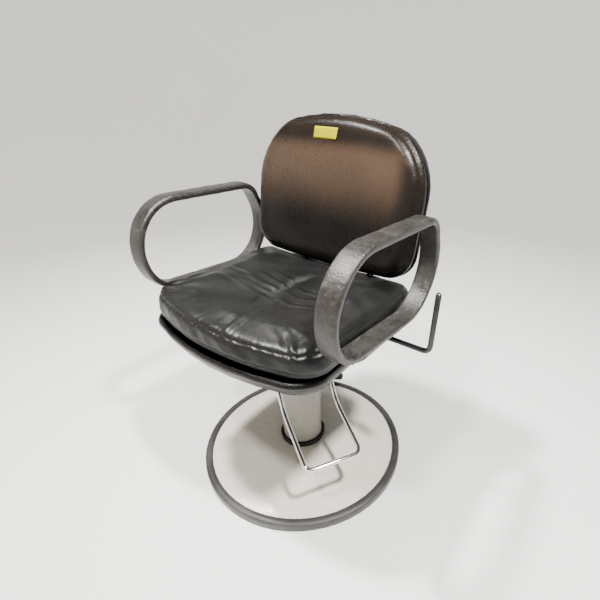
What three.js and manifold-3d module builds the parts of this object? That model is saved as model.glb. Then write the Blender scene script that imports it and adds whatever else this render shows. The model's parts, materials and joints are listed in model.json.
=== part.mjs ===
// Salon styling chair on a round hydraulic base.
// Millimetres, +Z up. The origin is on the floor under the column, and the chair faces -Y.
import * as THREE from "three";
import { mergeVertices } from "three/addons/utils/BufferGeometryUtils.js";
import Module from "manifold-3d";

const wasm = await Module();
wasm.setup();

// Base
const BASE_R = 305;
const PLATE_R = 293;
const PLATE_HOLE_R = 48;
const COLLAR_R = 68;
const PUMP_FOOT_R = 88;
const PUMP_R = 44;
const PUMP_TOP = 340;
const RAM_R = 14;
const RAM_BORE_R = 14.4;

// Column cover and what stands on it
const COVER_R = 59;
const COVER_WALL = 2.8;
const COVER_BOTTOM = 63;
const COVER_TOP = 352;
const HEAD_TOP = 360.6;

// Footrest: a U of bar that straddles the column, turned away from the seat's own heading
const FOOTREST_TURN = -29.3;
const FOOTREST_HALF = 73.5;
const FOOTREST_ROD_R = 6;
const FOOTREST_TOP = 372;

// Pump pedal, behind the column
const PEDAL_TURN = 120;
const PEDAL_PIN = { r: 92, z: 75 };

// Seat
// The front corners stand out past the arms by the flare.
const SEAT = { half: 242.5, front: -254, rear: 168, cornerFront: 50, cornerRear: 32, bow: 46, flare: 6 };
const PAN = { half: 245, front: -271, rear: 170, cornerFront: 56, cornerRear: 36, bow: 48, flare: 4 };
const FLARE_START = -150;
const FLARE_FULL = -200;
const FRAME_BOTTOM = 408.3;
const CARRIER = { bottom: 438, top: 450, front: -45, rear: 35, half: 215 };

// Arms: closed loops in the planes x = +ARM_X and x = -ARM_X, given by their centre line
const ARM_X = 268;
const ARM_WIDTH = 46;
const ARM_THICK = 14;
const ARM_BEVEL = 6;
const ARM_LOOP = [
  { y: -184, z: 542.5, r: 75 },
  { y: 232, z: 516, r: 107 },
  { y: 140.5, z: 724, r: 44 },
  { y: -236, z: 740, r: 109 },
];

// Back: leans by BACK_LEAN; depth runs back from its front face, height runs up from its lower edge
const BACK_LEAN = THREE.MathUtils.degToRad(11.5);
const BACK_Y = 114;
const BACK_Z = 571;
const BACK = { half: 240, height: 330, cornerTop: 98, cornerBottom: 56, bowTop: 44, bowBottom: 8 };
const PIVOT = { y: 188, z: 470, r: 6 };

// Recline hand lever: a rod bent into an L
const LEVER = { y: 100, z: 439, x: 331, top: 588, r: 6.5, bend: 20 };

const material = (color, roughness, metalness = 0) =>
  new THREE.MeshStandardMaterial({ color, roughness, metalness });
const IVORY = material(0xe6e1d5, 0.25);
const BUMPER = material(0x77756f, 0.6);
const BLACK = material(0x17161a, 0.45);
const STEEL = material(0x6f7072, 0.4, 0.9);
const ZINC = material(0xa5a6a8, 0.35, 0.9);
const BEIGE = material(0xb4afa5, 0.4);
const CHROME = material(0xe8e8ea, 0.08, 1);
const RUBBER = material(0x1c1c1c, 0.8);
const LEATHER = material(0x1d1c20, 0.4);
const URETHANE = material(0x3a3836, 0.55);
const PLYWOOD = material(0xa98a5e, 0.7);

const chair = new THREE.Group();

// Turns every face outwards.
function faceOut(geometry) {
  const g = geometry.index ? geometry.toNonIndexed() : geometry;
  const p = g.getAttribute("position");
  const a = new THREE.Vector3();
  const b = new THREE.Vector3();
  const c = new THREE.Vector3();
  let volume = 0;
  for (let i = 0; i < p.count; i += 3) {
    a.fromBufferAttribute(p, i);
    b.fromBufferAttribute(p, i + 1);
    c.fromBufferAttribute(p, i + 2);
    volume += a.dot(b.cross(c));
  }
  const out = new Float32Array(p.array);
  if (volume < 0) {
    for (let i = 0; i < p.count; i += 3) {
      for (let k = 0; k < 3; k += 1) {
        out[3 * (i + 1) + k] = p.array[3 * (i + 2) + k];
        out[3 * (i + 2) + k] = p.array[3 * (i + 1) + k];
      }
    }
  }
  const turned = new THREE.BufferGeometry();
  turned.setAttribute("position", new THREE.BufferAttribute(out, 3));
  turned.computeVertexNormals();
  return turned;
}

function add(name, geometry, look, parent = chair) {
  const mesh = new THREE.Mesh(faceOut(geometry), look.clone());
  mesh.name = name;
  parent.add(mesh);
  return mesh;
}

// A turned piece about the column axis, from [radius, height] pairs.
function turned(profile, segments) {
  const points = profile.map(([r, z]) => new THREE.Vector2(r, z));
  return new THREE.LatheGeometry(points, segments).rotateX(Math.PI / 2);
}

// A turned ring: its profile closes on itself.
function ring(profile, segments) {
  return turned([...profile, profile[0]], segments);
}

function block(x0, x1, y0, y1, z0, z1) {
  const g = new THREE.BoxGeometry(x1 - x0, y1 - y0, z1 - z0);
  return g.translate((x0 + x1) / 2, (y0 + y1) / 2, (z0 + z1) / 2);
}

// A cylinder of radius r about an axis along X, Y or Z, centred at (x, y, z).
function rod(axis, r, length, x, y, z, segments = 24) {
  const g = new THREE.CylinderGeometry(r, r, length, segments);
  if (axis === "x") g.rotateZ(Math.PI / 2);
  if (axis === "z") g.rotateX(Math.PI / 2);
  return g.translate(x, y, z);
}

// The points of a polygon whose corners are rounded.
function rounded(corners, steps) {
  const points = [];
  corners.forEach((corner, i) => {
    const before = corners[(i + corners.length - 1) % corners.length];
    const after = corners[(i + 1) % corners.length];
    const p = new THREE.Vector2(corner.a, corner.b);
    const u = new THREE.Vector2(before.a, before.b).sub(p).normalize();
    const w = new THREE.Vector2(after.a, after.b).sub(p).normalize();
    const half = Math.acos(u.dot(w)) / 2;
    const bisector = u.clone().add(w).normalize();
    const centre = p.clone().addScaledVector(bisector, corner.r / Math.sin(half));
    const start = p.clone().addScaledVector(u, corner.r / Math.tan(half)).sub(centre);
    const end = p.clone().addScaledVector(w, corner.r / Math.tan(half)).sub(centre);
    let sweep = end.angle() - start.angle();
    if (sweep > Math.PI) sweep -= 2 * Math.PI;
    if (sweep < -Math.PI) sweep += 2 * Math.PI;
    for (let k = 0; k <= steps; k += 1) {
      const t = start.angle() + (sweep * k) / steps;
      points.push(new THREE.Vector2(centre.x + corner.r * Math.cos(t), centre.y + corner.r * Math.sin(t)));
    }
  });
  return points;
}

// A rounded rectangle between two opposite corners.
function roundedBox(a0, a1, b0, b1, r, steps = 4) {
  const corners = [
    { a: a0, b: b0, r },
    { a: a1, b: b0, r },
    { a: a1, b: b1, r },
    { a: a0, b: b1, r },
  ];
  return new THREE.Shape(rounded(corners, steps));
}

function circleHole(shape, a, b, r, steps = 16) {
  const hole = new THREE.Path();
  for (let k = 0; k < steps; k += 1) {
    const t = (-2 * Math.PI * k) / steps;
    const point = [a + r * Math.cos(t), b + r * Math.sin(t)];
    if (k === 0) hole.moveTo(...point);
    else hole.lineTo(...point);
  }
  shape.holes.push(hole);
  return shape;
}

function slab(shape, z0, z1) {
  return new THREE.ExtrudeGeometry(shape, { depth: z1 - z0, bevelEnabled: false }).translate(0, 0, z0);
}

// A shape drawn in (y, z) and given a thickness along X.
function sidePlate(shape, x0, x1, bevel = 0) {
  const options = { depth: x1 - x0 - 2 * bevel, bevelEnabled: bevel > 0 };
  if (bevel > 0) {
    options.bevelSize = bevel;
    options.bevelThickness = bevel;
    options.bevelOffset = -bevel;
    options.bevelSegments = 2;
  }
  const g = new THREE.ExtrudeGeometry(shape, options).translate(0, 0, x0 + bevel);
  const turn = new THREE.Matrix4().set(0, 0, 1, 0, 1, 0, 0, 0, 0, 1, 0, 0, 0, 0, 0, 1);
  return g.applyMatrix4(turn);
}

// A closed skin through rings of equal point count, with a fan over each end.
// A lift moves an end fan's middle point, which crowns it.
function loft(rings, firstLift = new THREE.Vector3(), lastLift = new THREE.Vector3()) {
  const n = rings[0].length;
  const points = rings.flat();
  const faces = [];
  for (let r = 0; r + 1 < rings.length; r += 1) {
    for (let i = 0; i < n; i += 1) {
      const a = r * n + i;
      const b = r * n + ((i + 1) % n);
      faces.push([a, b, b + n], [a, b + n, a + n]);
    }
  }
  const ends = [
    { r: 0, lift: firstLift },
    { r: rings.length - 1, lift: lastLift },
  ];
  for (const { r, lift } of ends) {
    const middle = rings[r].reduce((sum, p) => sum.add(p), new THREE.Vector3());
    middle.divideScalar(n).add(lift);
    points.push(middle);
    const c = points.length - 1;
    for (let i = 0; i < n; i += 1) {
      const a = r * n + i;
      const b = r * n + ((i + 1) % n);
      faces.push(r === 0 ? [b, a, c] : [a, b, c]);
    }
  }
  const g = new THREE.BufferGeometry().setFromPoints(points);
  g.setIndex(faces.flat());
  return g;
}

// A bar swept along straight runs that meet in rounded bends.
function bentBar(points, bend, radius, steps) {
  const path = new THREE.CurvePath();
  let from = points[0].clone();
  for (let i = 1; i + 1 < points.length; i += 1) {
    const p = points[i];
    const back = points[i - 1].clone().sub(p).setLength(bend[i - 1]).add(p);
    const on = points[i + 1].clone().sub(p).setLength(bend[i - 1]).add(p);
    path.add(new THREE.LineCurve3(from, back));
    path.add(new THREE.QuadraticBezierCurve3(back, p.clone(), on));
    from = on;
  }
  path.add(new THREE.LineCurve3(from, points[points.length - 1].clone()));
  const section = [];
  for (let k = 0; k < 10; k += 1) {
    const t = (2 * Math.PI * k) / 10;
    section.push(new THREE.Vector2(radius * Math.cos(t), radius * Math.sin(t)));
  }
  const options = { steps, bevelEnabled: false, extrudePath: path };
  return new THREE.ExtrudeGeometry(new THREE.Shape(section), options);
}

function solidOf(geometry) {
  const g = faceOut(geometry);
  g.deleteAttribute("normal");
  g.deleteAttribute("uv");
  const merged = mergeVertices(g, 1e-3);
  const mesh = new wasm.Mesh({
    numProp: 3,
    vertProperties: new Float32Array(merged.getAttribute("position").array),
    triVerts: new Uint32Array(merged.index.array),
  });
  return new wasm.Manifold(mesh);
}

function geometryOf(solid) {
  const mesh = solid.getMesh();
  const g = new THREE.BufferGeometry();
  g.setAttribute("position", new THREE.BufferAttribute(new Float32Array(mesh.vertProperties), 3));
  g.setIndex(new THREE.BufferAttribute(new Uint32Array(mesh.triVerts), 1));
  return g;
}

const cut = (geometry, tool) => geometryOf(solidOf(geometry).subtract(solidOf(tool)));

// Base

const plate = [
  [PLATE_HOLE_R, 60],
  [74, 59.6],
  [110, 55.5],
  [155, 49],
  [200, 41],
  [240, 33],
  [267, 26.5],
  [281, 22.9],
  [PLATE_R, 22.6],
  [PLATE_R, 18.8],
  [280, 18.8],
  [240, 28.8],
  [155, 44.8],
  [74, 55.5],
  [PLATE_HOLE_R, 56],
];
add("base_plate", ring(plate, 56), IVORY);

const trim = [
  [283.4, 22.95],
  [282.4, 24.6],
  [285, 27.2],
  [291, 28.4],
  [299, 28],
  [304, 25],
  [BASE_R, 20],
  [BASE_R, 3],
  [303, 0],
  [285, 0],
  [284, 18.4],
  [PLATE_R + 0.5, 18.4],
  [PLATE_R + 0.5, 22.95],
];
add("base_trim", ring(trim, 56), BUMPER);

const collar = [
  [COVER_R + 0.6, 60.4],
  [COLLAR_R, 60.4],
  [COLLAR_R, 70],
  [COLLAR_R - 2.5, 74],
  [COVER_R + 2.5, 74],
  [COVER_R + 0.6, 72.5],
];
add("base_collar", ring(collar, 48), BLACK);

const pumpFoot = [
  [0, 0],
  [PUMP_FOOT_R, 0],
  [PUMP_FOOT_R, 9],
  [0, 9],
];
add("pump_foot", turned(pumpFoot, 48), STEEL);

const pumpCylinder = [
  [0, 9.3],
  [46, 9.3],
  [46, 20],
  [PUMP_R, 22],
  [PUMP_R, PUMP_TOP],
  [RAM_BORE_R, PUMP_TOP],
  [RAM_BORE_R, 120],
  [0, 120],
];
add("pump_cylinder", turned(pumpCylinder, 32), STEEL);

const pedalGroup = new THREE.Group();
pedalGroup.rotation.z = THREE.MathUtils.degToRad(PEDAL_TURN);
chair.add(pedalGroup);

const fork = new THREE.Shape();
fork.moveTo(69, -24);
fork.lineTo(104, -24);
fork.lineTo(104, -13);
fork.lineTo(79, -13);
fork.lineTo(79, 13);
fork.lineTo(104, 13);
fork.lineTo(104, 24);
fork.lineTo(69, 24);
const pinHole = rod("y", 5.4, 60, PEDAL_PIN.r, 0, PEDAL_PIN.z);
add("pedal_housing", cut(slab(fork, 60.4, 87), pinHole), BLACK, pedalGroup);
add("pedal_pin", rod("y", 5, 52, PEDAL_PIN.r, 0, PEDAL_PIN.z), ZINC, pedalGroup);

// The pedal's side view, drawn in (r, z) and given a thickness across the pedal.
const pedalSide = new THREE.Shape(
  rounded(
    [
      { a: 81, b: 64, r: 10 },
      { a: 108, b: 64, r: 4 },
      { a: 150, b: 62, r: 30 },
      { a: 297, b: 61, r: 2 },
      { a: 297, b: 69, r: 2 },
      { a: 150, b: 71, r: 30 },
      { a: 108, b: 84, r: 10 },
      { a: 81, b: 86, r: 10 },
    ],
    3,
  ),
);
circleHole(pedalSide, PEDAL_PIN.r, PEDAL_PIN.z, 5.4);
const pedalArm = new THREE.ExtrudeGeometry(pedalSide, { depth: 22, bevelEnabled: false });
pedalArm.rotateX(Math.PI / 2).translate(0, 11, 0);
add("pedal_arm", pedalArm, STEEL, pedalGroup);
add("pedal_pad", slab(roundedBox(252, 284, -98, 98, 12), 69.95, 78), RUBBER, pedalGroup);

// Lift column

const cover = [
  [COVER_R - COVER_WALL, COVER_BOTTOM],
  [COVER_R, COVER_BOTTOM],
  [COVER_R, COVER_TOP],
  [COVER_R - COVER_WALL, COVER_TOP],
];
add("column_cover", ring(cover, 48), BEIGE);

const screw = new THREE.Group();
screw.rotation.z = THREE.MathUtils.degToRad(25);
chair.add(screw);
add("cover_screw", rod("x", 4.2, 3.4, COVER_R + 2.1, 0, 217, 12), ZINC, screw);

const ram = [
  [0, 125],
  [RAM_R, 125],
  [RAM_R, 404],
  [0, 404],
];
add("pump_ram", turned(ram, 32), CHROME);

const footrest = new THREE.Group();
footrest.rotation.z = THREE.MathUtils.degToRad(FOOTREST_TURN);
chair.add(footrest);

// A disc-like middle over the cover with an ear under each footrest clamp.
const halfHead = [[60, 28], [32, 60], [-6, 60], [-6, 90], [-48, 90], [-48, 50], [-60, 28]];
const headCorners = [...halfHead, ...halfHead.map(([u, v]) => [u, -v]).reverse()];
const headShape = new THREE.Shape(rounded(headCorners.map(([a, b]) => ({ a, b, r: 6 })), 2));
circleHole(headShape, 0, 0, RAM_BORE_R, 32);
add("column_head", slab(headShape, COVER_TOP + 0.3, HEAD_TOP), STEEL, footrest);

const leg = [
  new THREE.Vector3(-52, FOOTREST_HALF, FOOTREST_TOP),
  new THREE.Vector3(0, FOOTREST_HALF, FOOTREST_TOP),
  new THREE.Vector3(95, FOOTREST_HALF, 234),
  new THREE.Vector3(252, FOOTREST_HALF, 188),
];
const mirrored = (p) => new THREE.Vector3(p.x, -p.y, p.z);
const footrestPath = [...leg, ...leg.map(mirrored).reverse()];
const footrestBends = [14, 30, 22, 22, 30, 14];
add("footrest_bar", bentBar(footrestPath, footrestBends, FOOTREST_ROD_R, 48), CHROME, footrest);

for (const [side, sign] of [["left", 1], ["right", -1]]) {
  const shape = roundedBox(sign * FOOTREST_HALF - 13, sign * FOOTREST_HALF + 13, HEAD_TOP + 0.3, 385, 3, 2);
  circleHole(shape, sign * FOOTREST_HALF, FOOTREST_TOP, FOOTREST_ROD_R + 0.5);
  add(`footrest_clamp_${side}`, sidePlate(shape, -46, -14), STEEL, footrest);
}

// Seat frame

const hub = [
  [RAM_BORE_R, 378],
  [30, 378],
  [30, 398],
  [76, 400],
  [76, 408],
  [RAM_BORE_R, 408],
];
add("seat_hub", ring(hub, 32), STEEL);
add("seat_frame", slab(roundedBox(-150, 150, -140, 120, 12), FRAME_BOTTOM, 414.3), STEEL);
[[-52, -52], [52, -52], [52, 52], [-52, 52]].forEach(([x, y], i) => {
  add(`hub_bolt_${i + 1}`, rod("z", 9, 6, x, y, 417.6, 6), ZINC);
});
add("arm_carrier", block(-CARRIER.half, CARRIER.half, CARRIER.front, CARRIER.rear, CARRIER.bottom, CARRIER.top), STEEL);
add("pan_rest_front", block(-112, 112, -165, -135, 437.9, 454.7), STEEL);
add("pan_rest_rear", block(-112, 112, 122, 150, 437.9, 454.7), STEEL);

// Seat pan, board and cushion

// One level ring of a seat piece: straight sides, rounded corners and a bowed front.
function seatRing(size, inset, z, scale = 1) {
  const half = size.half - inset;
  const front = size.front + inset;
  const rear = size.rear - inset;
  const rf = size.cornerFront - inset * 0.6;
  const rr = Math.max(size.cornerRear - inset * 0.6, 6);
  const corners = [
    { x: half - rr, y: rear - rr, r: rr, from: 0, between: 3 },
    { x: rr - half, y: rear - rr, r: rr, from: 90, between: 1 },
    { x: rf - half, y: front + rf, r: rf, from: 180, between: 5 },
    { x: half - rf, y: front + rf, r: rf, from: 270, between: 1 },
  ];
  const flat = [];
  corners.forEach((corner, i) => {
    for (let k = 0; k <= 7; k += 1) {
      const t = THREE.MathUtils.degToRad(corner.from + (90 * k) / 7);
      flat.push(new THREE.Vector2(corner.x + corner.r * Math.cos(t), corner.y + corner.r * Math.sin(t)));
    }
    const next = corners[(i + 1) % 4];
    const t = THREE.MathUtils.degToRad(next.from);
    const start = flat[flat.length - 1];
    const end = new THREE.Vector2(next.x + next.r * Math.cos(t), next.y + next.r * Math.sin(t));
    for (let k = 1; k <= corner.between; k += 1) {
      flat.push(start.clone().lerp(end, k / (corner.between + 1)));
    }
  });
  const middle = (size.front + size.rear) / 2;
  return flat.map((p) => {
    const frontal = p.y < front + rf + 1 ? 1 : 0;
    const y = p.y + frontal * size.bow * (p.x / half) ** 2;
    const flare = size.flare * THREE.MathUtils.smoothstep(-y, -FLARE_START, -FLARE_FULL);
    const x = p.x * (1 + flare / size.half);
    return new THREE.Vector3(x * scale, middle + (y - middle) * scale, z);
  });
}

const panRings = [
  seatRing(PAN, 40, 455),
  seatRing(PAN, 22, 458),
  seatRing(PAN, 9, 472),
  seatRing(PAN, 2.5, 487),
  seatRing(PAN, 0, 495),
  seatRing(PAN, 1.5, 501),
  seatRing(PAN, 5, 504),
  seatRing(PAN, 9, 501),
  seatRing(PAN, 14, 478),
  seatRing(PAN, 34, 460),
];
add("seat_pan", loft(panRings), BLACK);
add("seat_board", loft([seatRing(SEAT, 18, 490.3), seatRing(SEAT, 18, 505.8)]), PLYWOOD);
[[-120, -140], [120, -140], [120, 90], [-120, 90]].forEach(([x, y], i) => {
  add(`seat_spacer_${i + 1}`, block(x - 20, x + 20, y - 20, y + 20, 460.3, 490), PLYWOOD);
});

const cushionRings = [
  seatRing(SEAT, 7, 506.2),
  seatRing(SEAT, 1, 512),
  seatRing(SEAT, 0, 522),
  seatRing(SEAT, 0, 548),
  seatRing(SEAT, 3, 557.5),
  seatRing(SEAT, 10, 562.5),
  seatRing(SEAT, 10, 565.5, 0.75),
  seatRing(SEAT, 10, 567.5, 0.4),
];
add("seat_cushion", loft(cushionRings, undefined, new THREE.Vector3(0, 0, 1)), LEATHER);

// Arms

// The arm's loop moved outwards by an offset, as (y, z) corners.
function armCorners(offset) {
  return ARM_LOOP.map((corner, i) => {
    const before = ARM_LOOP[(i + 3) % 4];
    const after = ARM_LOOP[(i + 1) % 4];
    const p = new THREE.Vector2(corner.y, corner.z);
    const u = new THREE.Vector2(before.y, before.z).sub(p).normalize();
    const w = new THREE.Vector2(after.y, after.z).sub(p).normalize();
    const half = Math.acos(u.dot(w)) / 2;
    p.addScaledVector(u.add(w).normalize(), -offset / Math.sin(half));
    return { a: p.x, b: p.y, r: corner.r + offset };
  });
}

const armUnderside = (y) => {
  const [low, rear] = ARM_LOOP;
  const slope = (rear.z - low.z) / (rear.y - low.y);
  return low.z + slope * (y - low.y) - ARM_THICK / 2 - 0.35;
};

for (const [side, sign] of [["left", -1], ["right", 1]]) {
  const shape = new THREE.Shape(rounded(armCorners(ARM_THICK / 2), 8));
  shape.holes.push(new THREE.Path(rounded(armCorners(-ARM_THICK / 2), 8)));
  const arm = sidePlate(shape, sign * ARM_X - ARM_WIDTH / 2, sign * ARM_X + ARM_WIDTH / 2, ARM_BEVEL);
  add(`arm_${side}`, arm, URETHANE);

  // From the end of the carrier the bracket follows the pan's side up to the arm's sloping underside.
  const top = armUnderside(CARRIER.rear);
  const section = [
    [188, CARRIER.top + 0.3],
    [228, CARRIER.top + 0.3],
    [246, 468],
    [252.6, 482],
    [252.6, top - 6],
    [284, top - 6],
    [284, top],
    [246.9, top],
    [246.9, 488],
    [240, 473.5],
    [221, 454.7],
    [188, 454.7],
  ];
  const bracketShape = new THREE.Shape(section.map(([x, z]) => new THREE.Vector2(sign * x, z)));
  const depth = CARRIER.rear - CARRIER.front;
  const bracket = new THREE.ExtrudeGeometry(bracketShape, { depth, bevelEnabled: false });
  bracket.rotateX(Math.PI / 2).translate(0, CARRIER.rear, 0);
  const corners = bracket.getAttribute("position");
  for (let i = 0; i < corners.count; i += 1) {
    if (corners.getZ(i) > 500) corners.setZ(i, corners.getZ(i) + armUnderside(corners.getY(i)) - top);
  }
  add(`arm_bracket_${side}`, bracket, BLACK);

  [-22, 12].forEach((y, i) => {
    add(`arm_bolt_${side}_${i + 1}`, rod("z", 9, 6, sign * 203, y, CARRIER.bottom - 3.3, 6), ZINC);
  });

  const railX = [85 * sign, 115 * sign].sort((a, b) => a - b);
  add(`frame_rail_${side}`, block(...railX, -170, 168, 414.6, 437.6), STEEL);

  const plateX = [115.6 * sign, 121.6 * sign].sort((a, b) => a - b);
  const plateShape = new THREE.Shape(
    rounded(
      [
        { a: 60, b: 416, r: 4 },
        { a: 165, b: 416, r: 10 },
        { a: 206, b: 456, r: 10 },
        { a: 206, b: 488, r: 10 },
        { a: 171, b: 488, r: 6 },
        { a: 171, b: 452, r: 3 },
        { a: 60, b: 452, r: 4 },
      ],
      3,
    ),
  );
  circleHole(plateShape, PIVOT.y, PIVOT.z, PIVOT.r + 0.4);
  add(`recline_bracket_${side}`, sidePlate(plateShape, ...plateX), STEEL);
}
add("pivot_shaft", rod("x", PIVOT.r, 256, 0, PIVOT.y, PIVOT.z), ZINC);

// Recline hand lever, on the chair's right-hand side as seen from its front

const bush = circleHole(roundedBox(LEVER.y - 11, LEVER.y + 11, LEVER.z - 11, LEVER.z + 11, 10), LEVER.y, LEVER.z, LEVER.r + 0.4);
add("lever_bush", sidePlate(bush, 121.9, 150), STEEL);
const leverPath = [
  new THREE.Vector3(124, LEVER.y, LEVER.z),
  new THREE.Vector3(LEVER.x, LEVER.y, LEVER.z),
  new THREE.Vector3(LEVER.x, LEVER.y, LEVER.top),
];
add("lever_rod", bentBar(leverPath, [LEVER.bend], LEVER.r, 30), BLACK);
add("lever_tip", rod("z", 4.6, 2.4, LEVER.x, LEVER.y, LEVER.top + 1.5, 20), ZINC);

// Back

// A point of the back, from its distance to the side, its height and its depth.
function backPoint(x, height, depth) {
  const y = BACK_Y + depth * Math.cos(BACK_LEAN) + height * Math.sin(BACK_LEAN);
  const z = BACK_Z + height * Math.cos(BACK_LEAN) - depth * Math.sin(BACK_LEAN);
  return new THREE.Vector3(x, y, z);
}

// One ring of a back piece: straight sides, large upper corners and a bowed top.
// The upper corners grow rounder towards the front by the extra radius.
function backRing(inset, depth, extra = 0, scale = 1) {
  const half = BACK.half - inset;
  const bottom = inset;
  const top = BACK.height - inset;
  const rt = BACK.cornerTop + extra - inset * 0.6;
  const rb = BACK.cornerBottom - inset * 0.6;
  const corners = [
    { x: half - rt, s: top - rt, r: rt, from: 0, between: 5 },
    { x: rt - half, s: top - rt, r: rt, from: 90, between: 1 },
    { x: rb - half, s: bottom + rb, r: rb, from: 180, between: 5 },
    { x: half - rb, s: bottom + rb, r: rb, from: 270, between: 1 },
  ];
  const flat = [];
  corners.forEach((corner, i) => {
    for (let k = 0; k <= 7; k += 1) {
      const t = THREE.MathUtils.degToRad(corner.from + (90 * k) / 7);
      flat.push(new THREE.Vector2(corner.x + corner.r * Math.cos(t), corner.s + corner.r * Math.sin(t)));
    }
    const next = corners[(i + 1) % 4];
    const t = THREE.MathUtils.degToRad(next.from);
    const start = flat[flat.length - 1];
    const end = new THREE.Vector2(next.x + next.r * Math.cos(t), next.s + next.r * Math.sin(t));
    for (let k = 1; k <= corner.between; k += 1) {
      flat.push(start.clone().lerp(end, k / (corner.between + 1)));
    }
  });
  const middle = BACK.height / 2;
  return flat.map((p) => {
    const across = (p.x / BACK.half) ** 2;
    const upper = p.y > top - rt - 1 ? 1 : 0;
    const lower = p.y < bottom + rb + 1 ? 1 : 0;
    const s = p.y - upper * BACK.bowTop * across + lower * BACK.bowBottom * across;
    return backPoint(p.x * scale, middle + (s - middle) * scale, depth);
  });
}

const backCushionRings = [
  backRing(5, 44),
  backRing(0, 38),
  backRing(0, 18, 12),
  backRing(5, 6, 20),
  backRing(14, 0, 24),
  backRing(14, -3, 24, 0.7),
  backRing(14, -4.5, 24, 0.4),
];
add("back_cushion", loft(backCushionRings), LEATHER);
add("back_shell", loft([backRing(22, 62), backRing(8, 58), backRing(2, 50), backRing(2, 44.4)]), BLACK);

// Pieces behind the shell are drawn upright and leant with the back.
function leant(geometry) {
  const turn = new THREE.Matrix4().makeRotationX(-BACK_LEAN);
  const place = new THREE.Matrix4().makeTranslation(0, BACK_Y, BACK_Z);
  return geometry.applyMatrix4(place.multiply(turn));
}
const pivotDepth = (PIVOT.y - BACK_Y) * Math.cos(BACK_LEAN) - (PIVOT.z - BACK_Z) * Math.sin(BACK_LEAN);
const pivotHeight = (PIVOT.y - BACK_Y) * Math.sin(BACK_LEAN) + (PIVOT.z - BACK_Z) * Math.cos(BACK_LEAN);

add("back_mount_plate", leant(block(-92, 92, 62.4, 65.8, 60, 200)), STEEL);
[[-70, 80], [70, 80], [70, 180], [-70, 180]].forEach(([x, s], i) => {
  add(`back_screw_${i + 1}`, leant(rod("y", 7, 4, x, 68.1, s, 6)), ZINC);
});
for (const [side, sign] of [["left", -1], ["right", 1]]) {
  const uprightShape = new THREE.Shape(
    rounded(
      [
        { a: pivotDepth - 14, b: pivotHeight - 15, r: 11 },
        { a: pivotDepth + 14, b: pivotHeight - 15, r: 11 },
        { a: pivotDepth + 14, b: pivotHeight + 30, r: 20 },
        { a: 86, b: -30, r: 20 },
        { a: 86, b: 226, r: 9 },
        { a: 62.5, b: 226, r: 2 },
        { a: 62.5, b: -24, r: 8 },
        { a: pivotDepth - 14, b: pivotHeight + 24, r: 12 },
      ],
      3,
    ),
  );
  circleHole(uprightShape, pivotDepth, pivotHeight, PIVOT.r + 0.4);
  const uprightX = [104 * sign, 112 * sign].sort((a, b) => a - b);
  add(`back_upright_${side}`, leant(sidePlate(uprightShape, ...uprightX)), STEEL);
}

export default chair;
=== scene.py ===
import json
import math

import bpy
import numpy as np
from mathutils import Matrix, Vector
from mathutils.bvhtree import BVHTree


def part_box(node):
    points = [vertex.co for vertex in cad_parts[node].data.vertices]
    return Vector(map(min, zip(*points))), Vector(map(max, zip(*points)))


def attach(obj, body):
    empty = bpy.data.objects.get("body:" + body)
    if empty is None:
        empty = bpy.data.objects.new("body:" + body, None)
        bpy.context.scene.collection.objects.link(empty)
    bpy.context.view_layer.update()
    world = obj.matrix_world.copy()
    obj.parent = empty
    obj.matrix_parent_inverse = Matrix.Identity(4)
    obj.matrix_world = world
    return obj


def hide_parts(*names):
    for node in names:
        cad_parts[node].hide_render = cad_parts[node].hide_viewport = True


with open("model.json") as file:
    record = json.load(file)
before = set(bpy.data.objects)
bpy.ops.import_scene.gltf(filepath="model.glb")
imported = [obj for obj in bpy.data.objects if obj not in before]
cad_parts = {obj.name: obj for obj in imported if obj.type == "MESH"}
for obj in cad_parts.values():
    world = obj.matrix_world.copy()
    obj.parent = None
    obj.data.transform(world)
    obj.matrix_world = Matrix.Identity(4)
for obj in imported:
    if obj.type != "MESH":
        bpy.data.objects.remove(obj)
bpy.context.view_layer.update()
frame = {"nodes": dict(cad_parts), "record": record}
nodes = frame["nodes"]
slot_of = {p["node"]: p["material_slot"] for p in frame["record"]["subparts"]}
body_of = {n: body for body, held in frame["record"]["behaviour"]["bodies"].items() for n in held}

# ---- where things are: all in metres, in the row frame, with the seat facing -Y ----
LEAN = math.radians(11.5)  # the back's slope
BACK_FOOT = Vector((0.0, 0.114, 0.571))  # bottom edge of the back's front face
ACROSS = Vector((1, 0, 0))
UP_BACK = Vector((0, math.sin(LEAN), math.cos(LEAN)))
INTO_BACK = Vector((0, math.cos(LEAN), -math.sin(LEAN)))
seat_low, seat_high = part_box("seat_cushion")

# the bars and arms follow the same corners as the CAD's
FOOTREST_LEG = [(-0.052, 0.0735, 0.372), (0.0, 0.0735, 0.372), (0.095, 0.0735, 0.234), (0.252, 0.0735, 0.188)]
FOOTREST_BENDS = (0.014, 0.030, 0.022, 0.022, 0.030, 0.014)
FOOTREST_TURN = math.radians(-29.3)
FOOTREST_R = 0.006
LEVER_PATH = [(0.124, 0.100, 0.439), (0.331, 0.100, 0.439), (0.331, 0.100, 0.588)]
LEVER_BENDS = (0.020,)
LEVER_R = 0.0065
ARM_CORNERS = ((-0.184, 0.5425, 0.075), (0.232, 0.516, 0.107), (0.1405, 0.724, 0.044), (-0.236, 0.740, 0.109))
ARM_THICK = 0.014
ARM_EDGE = 0.0058

ARM_DENTS = 46

# cushions
GRID = 0.0055  # size of the cloth's cells before they are split
PRESSURE = 4.0
MOST_CLOTH_MOVE = 0.024
CLOTH_FRAMES = 20
SEAT_SEAM_IN = 0.0065
BACK_SEAM_IN = 0.0050
BACK_SHOULDER = 0.036  # radius of the back's rounded border
SEAT_SPARE, BACK_SPARE = 0.006, 0.003  # how far each cover may bulge past its CAD outline

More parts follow.
